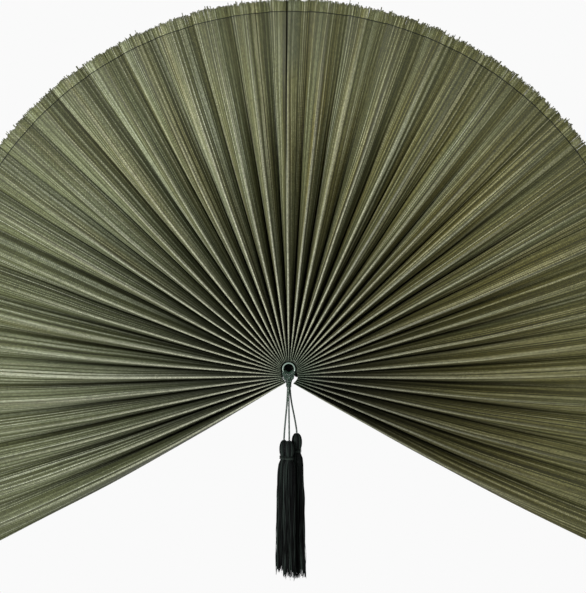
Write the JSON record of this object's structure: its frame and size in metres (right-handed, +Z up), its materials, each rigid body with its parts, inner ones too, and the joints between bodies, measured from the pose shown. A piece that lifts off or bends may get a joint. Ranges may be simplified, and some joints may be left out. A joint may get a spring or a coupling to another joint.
{
  "type": "palm leaf fan",
  "caption": "Large pleated fan of fine dyed palm splints that opens round a hub eyelet, hung on a wall, with black tassels on satin cords under the hub.",
  "frame": {"origin": "centre of the hub eyelet, on its axis, half way through the depth of the pleats, where a wall hook holds the fan", "axes": "+X to the viewer's right across the open fan, +Y from the front to the wall along the eyelet's axis, +Z up"},
  "size_m": [0.7448, 0.0292, 0.5819],
  "materials": {
    "palm_mat": "dyed palm splints, woven",
    "lacquered_brass": "rolled, green lacquer",
    "waxed_thread": "twisted and waxed",
    "satin_cord": "braided rayon satin",
    "tassel_yarn": "twisted rayon yarn"
  },
  "bodies": {
    "hub": {"hub_eyelet": "lacquered_brass", "gathering_cord": "waxed_thread", "gather_knot": "waxed_thread", "cord_hitch": "satin_cord", "cord_collar": "satin_cord", "pleat_centre": "palm_mat"},
    "pleat_r20": {"pleat_r20": "palm_mat"},
    "pleat_l20": {"pleat_l20": "palm_mat"},
    "pleat_r19": {"pleat_r19": "palm_mat"},
    "pleat_l19": {"pleat_l19": "palm_mat"},
    "pleat_r18": {"pleat_r18": "palm_mat"},
    "pleat_l18": {"pleat_l18": "palm_mat"},
    "pleat_r17": {"pleat_r17": "palm_mat"},
    "pleat_l17": {"pleat_l17": "palm_mat"},
    "pleat_r16": {"pleat_r16": "palm_mat"},
    "pleat_l16": {"pleat_l16": "palm_mat"},
    "pleat_r15": {"pleat_r15": "palm_mat"},
    "pleat_l15": {"pleat_l15": "palm_mat"},
    "pleat_r14": {"pleat_r14": "palm_mat"},
    "pleat_l14": {"pleat_l14": "palm_mat"},
    "pleat_r13": {"pleat_r13": "palm_mat"},
    "pleat_l13": {"pleat_l13": "palm_mat"},
    "pleat_r12": {"pleat_r12": "palm_mat"},
    "pleat_l12": {"pleat_l12": "palm_mat"},
    "pleat_r11": {"pleat_r11": "palm_mat"},
    "pleat_l11": {"pleat_l11": "palm_mat"},
    "pleat_r10": {"pleat_r10": "palm_mat"},
    "pleat_l10": {"pleat_l10": "palm_mat"},
    "pleat_r09": {"pleat_r09": "palm_mat"},
    "pleat_l09": {"pleat_l09": "palm_mat"},
    "pleat_r08": {"pleat_r08": "palm_mat"},
    "pleat_l08": {"pleat_l08": "palm_mat"},
    "pleat_r07": {"pleat_r07": "palm_mat"},
    "pleat_l07": {"pleat_l07": "palm_mat"},
    "pleat_r06": {"pleat_r06": "palm_mat"},
    "pleat_l06": {"pleat_l06": "palm_mat"},
    "pleat_r05": {"pleat_r05": "palm_mat"},
    "pleat_l05": {"pleat_l05": "palm_mat"},
    "pleat_r04": {"pleat_r04": "palm_mat"},
    "pleat_l04": {"pleat_l04": "palm_mat"},
    "pleat_r03": {"pleat_r03": "palm_mat"},
    "pleat_l03": {"pleat_l03": "palm_mat"},
    "pleat_r02": {"pleat_r02": "palm_mat"},
    "pleat_l02": {"pleat_l02": "palm_mat"},
    "pleat_r01": {"pleat_r01": "palm_mat"},
    "pleat_l01": {"pleat_l01": "palm_mat"},
    "tassel_middle": {"tassel_cord_middle": "satin_cord", "tassel_head_middle": "tassel_yarn", "neck_tie_middle": "tassel_yarn", "tassel_skirt_middle": "tassel_yarn"},
    "tassel_left": {"tassel_cord_left": "satin_cord", "tassel_head_left": "tassel_yarn", "neck_tie_left": "tassel_yarn", "tassel_skirt_left": "tassel_yarn"},
    "tassel_right": {"tassel_cord_right": "satin_cord", "tassel_head_right": "tassel_yarn", "neck_tie_right": "tassel_yarn", "tassel_skirt_right": "tassel_yarn"}
  },
  "joints": [
    {"name": "fan_fold", "type": "hinge", "parent": "hub", "child": "pleat_r20", "pos_m": [0, 0, 0], "axis": [0, -1, 0], "range_deg": [0, 116.6], "deforming": ["pleat_r20", "pleat_centre"]},
    {"name": "fold_l20", "type": "hinge", "parent": "hub", "child": "pleat_l20", "pos_m": [0, 0, 0], "axis": [0, 1, 0], "range_deg": [0, 116.6], "deforming": ["pleat_l20"]},
    {"name": "fold_r19", "type": "hinge", "parent": "hub", "child": "pleat_r19", "pos_m": [0, 0, 0], "axis": [0, -1, 0], "range_deg": [0, 111.2], "deforming": ["pleat_r19"]},
    {"name": "fold_l19", "type": "hinge", "parent": "hub", "child": "pleat_l19", "pos_m": [0, 0, 0], "axis": [0, 1, 0], "range_deg": [0, 111.2], "deforming": ["pleat_l19"]},
    {"name": "fold_r18", "type": "hinge", "parent": "hub", "child": "pleat_r18", "pos_m": [0, 0, 0], "axis": [0, -1, 0], "range_deg": [0, 105.66], "deforming": ["pleat_r18"]},
    {"name": "fold_l18", "type": "hinge", "parent": "hub", "child": "pleat_l18", "pos_m": [0, 0, 0], "axis": [0, 1, 0], "range_deg": [0, 105.66], "deforming": ["pleat_l18"]},
    {"name": "fold_r17", "type": "hinge", "parent": "hub", "child": "pleat_r17", "pos_m": [0, 0, 0], "axis": [0, -1, 0], "range_deg": [0, 100.25], "deforming": ["pleat_r17"]},
    {"name": "fold_l17", "type": "hinge", "parent": "hub", "child": "pleat_l17", "pos_m": [0, 0, 0], "axis": [0, 1, 0], "range_deg": [0, 100.25], "deforming": ["pleat_l17"]},
    {"name": "fold_r16", "type": "hinge", "parent": "hub", "child": "pleat_r16", "pos_m": [0, 0, 0], "axis": [0, -1, 0], "range_deg": [0, 94.84], "deforming": ["pleat_r16"]},
    {"name": "fold_l16", "type": "hinge", "parent": "hub", "child": "pleat_l16", "pos_m": [0, 0, 0], "axis": [0, 1, 0], "range_deg": [0, 94.84], "deforming": ["pleat_l16"]},
    {"name": "fold_r15", "type": "hinge", "parent": "hub", "child": "pleat_r15", "pos_m": [0, 0, 0], "axis": [0, -1, 0], "range_deg": [0, 89.04], "deforming": ["pleat_r15"]},
    {"name": "fold_l15", "type": "hinge", "parent": "hub", "child": "pleat_l15", "pos_m": [0, 0, 0], "axis": [0, 1, 0], "range_deg": [0, 89.04], "deforming": ["pleat_l15"]},
    {"name": "fold_r14", "type": "hinge", "parent": "hub", "child": "pleat_r14", "pos_m": [0, 0, 0], "axis": [0, -1, 0], "range_deg": [0, 83.81], "deforming": ["pleat_r14"]},
    {"name": "fold_l14", "type": "hinge", "parent": "hub", "child": "pleat_l14", "pos_m": [0, 0, 0], "axis": [0, 1, 0], "range_deg": [0, 83.81], "deforming": ["pleat_l14"]},
    {"name": "fold_r13", "type": "hinge", "parent": "hub", "child": "pleat_r13", "pos_m": [0, 0, 0], "axis": [0, -1, 0], "range_deg": [0, 77.97], "deforming": ["pleat_r13"]},
    {"name": "fold_l13", "type": "hinge", "parent": "hub", "child": "pleat_l13", "pos_m": [0, 0, 0], "axis": [0, 1, 0], "range_deg": [0, 77.97], "deforming": ["pleat_l13"]},
    {"name": "fold_r12", "type": "hinge", "parent": "hub", "child": "pleat_r12", "pos_m": [0, 0, 0], "axis": [0, -1, 0], "range_deg": [0, 72.21], "deforming": ["pleat_r12"]},
    {"name": "fold_l12", "type": "hinge", "parent": "hub", "child": "pleat_l12", "pos_m": [0, 0, 0], "axis": [0, 1, 0], "range_deg": [0, 72.21], "deforming": ["pleat_l12"]},
    {"name": "fold_r11", "type": "hinge", "parent": "hub", "child": "pleat_r11", "pos_m": [0, 0, 0], "axis": [0, -1, 0], "range_deg": [0, 66.87], "deforming": ["pleat_r11"]},
    {"name": "fold_l11", "type": "hinge", "parent": "hub", "child": "pleat_l11", "pos_m": [0, 0, 0], "axis": [0, 1, 0], "range_deg": [0, 66.87], "deforming": ["pleat_l11"]},
    {"name": "fold_r10", "type": "hinge", "parent": "hub", "child": "pleat_r10", "pos_m": [0, 0, 0], "axis": [0, -1, 0], "range_deg": [0, 60.53], "deforming": ["pleat_r10"]},
    {"name": "fold_l10", "type": "hinge", "parent": "hub", "child": "pleat_l10", "pos_m": [0, 0, 0], "axis": [0, 1, 0], "range_deg": [0, 60.53], "deforming": ["pleat_l10"]},
    {"name": "fold_r09", "type": "hinge", "parent": "hub", "child": "pleat_r09", "pos_m": [0, 0, 0], "axis": [0, -1, 0], "range_deg": [0, 55.06], "deforming": ["pleat_r09"]},
    {"name": "fold_l09", "type": "hinge", "parent": "hub", "child": "pleat_l09", "pos_m": [0, 0, 0], "axis": [0, 1, 0], "range_deg": [0, 55.06], "deforming": ["pleat_l09"]},
    {"name": "fold_r08", "type": "hinge", "parent": "hub", "child": "pleat_r08", "pos_m": [0, 0, 0], "axis": [0, -1, 0], "range_deg": [0, 49.13], "deforming": ["pleat_r08"]},
    {"name": "fold_l08", "type": "hinge", "parent": "hub", "child": "pleat_l08", "pos_m": [0, 0, 0], "axis": [0, 1, 0], "range_deg": [0, 49.13], "deforming": ["pleat_l08"]},
    {"name": "fold_r07", "type": "hinge", "parent": "hub", "child": "pleat_r07", "pos_m": [0, 0, 0], "axis": [0, -1, 0], "range_deg": [0, 42.73], "deforming": ["pleat_r07"]},
    {"name": "fold_l07", "type": "hinge", "parent": "hub", "child": "pleat_l07", "pos_m": [0, 0, 0], "axis": [0, 1, 0], "range_deg": [0, 42.73], "deforming": ["pleat_l07"]},
    {"name": "fold_r06", "type": "hinge", "parent": "hub", "child": "pleat_r06", "pos_m": [0, 0, 0], "axis": [0, -1, 0], "range_deg": [0, 37.35], "deforming": ["pleat_r06"]},
    {"name": "fold_l06", "type": "hinge", "parent": "hub", "child": "pleat_l06", "pos_m": [0, 0, 0], "axis": [0, 1, 0], "range_deg": [0, 37.35], "deforming": ["pleat_l06"]},
    {"name": "fold_r05", "type": "hinge", "parent": "hub", "child": "pleat_r05", "pos_m": [0, 0, 0], "axis": [0, -1, 0], "range_deg": [0, 30.72], "deforming": ["pleat_r05"]},
    {"name": "fold_l05", "type": "hinge", "parent": "hub", "child": "pleat_l05", "pos_m": [0, 0, 0], "axis": [0, 1, 0], "range_deg": [0, 30.72], "deforming": ["pleat_l05"]},
    {"name": "fold_r04", "type": "hinge", "parent": "hub", "child": "pleat_r04", "pos_m": [0, 0, 0], "axis": [0, -1, 0], "range_deg": [0, 24.72], "deforming": ["pleat_r04"]},
    {"name": "fold_l04", "type": "hinge", "parent": "hub", "child": "pleat_l04", "pos_m": [0, 0, 0], "axis": [0, 1, 0], "range_deg": [0, 24.72], "deforming": ["pleat_l04"]},
    {"name": "fold_r03", "type": "hinge", "parent": "hub", "child": "pleat_r03", "pos_m": [0, 0, 0], "axis": [0, -1, 0], "range_deg": [0, 18.94], "deforming": ["pleat_r03"]},
    {"name": "fold_l03", "type": "hinge", "parent": "hub", "child": "pleat_l03", "pos_m": [0, 0, 0], "axis": [0, 1, 0], "range_deg": [0, 18.94], "deforming": ["pleat_l03"]},
    {"name": "fold_r02", "type": "hinge", "parent": "hub", "child": "pleat_r02", "pos_m": [0, 0, 0], "axis": [0, -1, 0], "range_deg": [0, 12.04], "deforming": ["pleat_r02"]},
    {"name": "fold_l02", "type": "hinge", "parent": "hub", "child": "pleat_l02", "pos_m": [0, 0, 0], "axis": [0, 1, 0], "range_deg": [0, 12.04], "deforming": ["pleat_l02"]},
    {"name": "fold_r01", "type": "hinge", "parent": "hub", "child": "pleat_r01", "pos_m": [0, 0, 0], "axis": [0, -1, 0], "range_deg": [0, 6.49], "deforming": ["pleat_r01"]},
    {"name": "fold_l01", "type": "hinge", "parent": "hub", "child": "pleat_l01", "pos_m": [0, 0, 0], "axis": [0, 1, 0], "range_deg": [0, 6.49], "deforming": ["pleat_l01"]},
    {"name": "tassel_swing", "type": "hinge", "parent": "hub", "child": "tassel_middle", "pos_m": [0, -0.01117, -0.01768], "axis": [0, 1, 0], "range_deg": [-20, 20]},
    {"name": "tassel_spread_left", "type": "hinge", "parent": "tassel_middle", "child": "tassel_left", "pos_m": [-0.0011, -0.00919, -0.01767], "axis": [0, 1, 0], "range_deg": [0, 20]},
    {"name": "tassel_spread_right", "type": "hinge", "parent": "tassel_middle", "child": "tassel_right", "pos_m": [0.0011, -0.00919, -0.01765], "axis": [0, -1, 0], "range_deg": [0, 20]}
  ],
  "couplings": [
    {"joint": "fold_l20", "follows": "fan_fold", "ratio": 1},
    {"joint": "fold_r19", "follows": "fan_fold", "ratio": 0.95369},
    {"joint": "fold_l19", "follows": "fan_fold", "ratio": 0.95369},
    {"joint": "fold_r18", "follows": "fan_fold", "ratio": 0.90616},
    {"joint": "fold_l18", "follows": "fan_fold", "ratio": 0.90616},
    {"joint": "fold_r17", "follows": "fan_fold", "ratio": 0.85977},
    {"joint": "fold_l17", "follows": "fan_fold", "ratio": 0.85977},
    {"joint": "fold_r16", "follows": "fan_fold", "ratio": 0.8134},
    {"joint": "fold_l16", "follows": "fan_fold", "ratio": 0.8134},
    {"joint": "fold_r15", "follows": "fan_fold", "ratio": 0.76367},
    {"joint": "fold_l15", "follows": "fan_fold", "ratio": 0.76367},
    {"joint": "fold_r14", "follows": "fan_fold", "ratio": 0.71878},
    {"joint": "fold_l14", "follows": "fan_fold", "ratio": 0.71878},
    {"joint": "fold_r13", "follows": "fan_fold", "ratio": 0.66867},
    {"joint": "fold_l13", "follows": "fan_fold", "ratio": 0.66867},
    {"joint": "fold_r12", "follows": "fan_fold", "ratio": 0.61929},
    {"joint": "fold_l12", "follows": "fan_fold", "ratio": 0.61929},
    {"joint": "fold_r11", "follows": "fan_fold", "ratio": 0.57346},
    {"joint": "fold_l11", "follows": "fan_fold", "ratio": 0.57346},
    {"joint": "fold_r10", "follows": "fan_fold", "ratio": 0.51911},
    {"joint": "fold_l10", "follows": "fan_fold", "ratio": 0.51911},
    {"joint": "fold_r09", "follows": "fan_fold", "ratio": 0.47222},
    {"joint": "fold_l09", "follows": "fan_fold", "ratio": 0.47222},
    {"joint": "fold_r08", "follows": "fan_fold", "ratio": 0.42138},
    {"joint": "fold_l08", "follows": "fan_fold", "ratio": 0.42138},
    {"joint": "fold_r07", "follows": "fan_fold", "ratio": 0.36643},
    {"joint": "fold_l07", "follows": "fan_fold", "ratio": 0.36643},
    {"joint": "fold_r06", "follows": "fan_fold", "ratio": 0.32036},
    {"joint": "fold_l06", "follows": "fan_fold", "ratio": 0.32036},
    {"joint": "fold_r05", "follows": "fan_fold", "ratio": 0.26343},
    {"joint": "fold_l05", "follows": "fan_fold", "ratio": 0.26343},
    {"joint": "fold_r04", "follows": "fan_fold", "ratio": 0.21203},
    {"joint": "fold_l04", "follows": "fan_fold", "ratio": 0.21203},
    {"joint": "fold_r03", "follows": "fan_fold", "ratio": 0.16239},
    {"joint": "fold_l03", "follows": "fan_fold", "ratio": 0.16239},
    {"joint": "fold_r02", "follows": "fan_fold", "ratio": 0.10324},
    {"joint": "fold_l02", "follows": "fan_fold", "ratio": 0.10324},
    {"joint": "fold_r01", "follows": "fan_fold", "ratio": 0.055665},
    {"joint": "fold_l01", "follows": "fan_fold", "ratio": 0.055665}
  ]
}
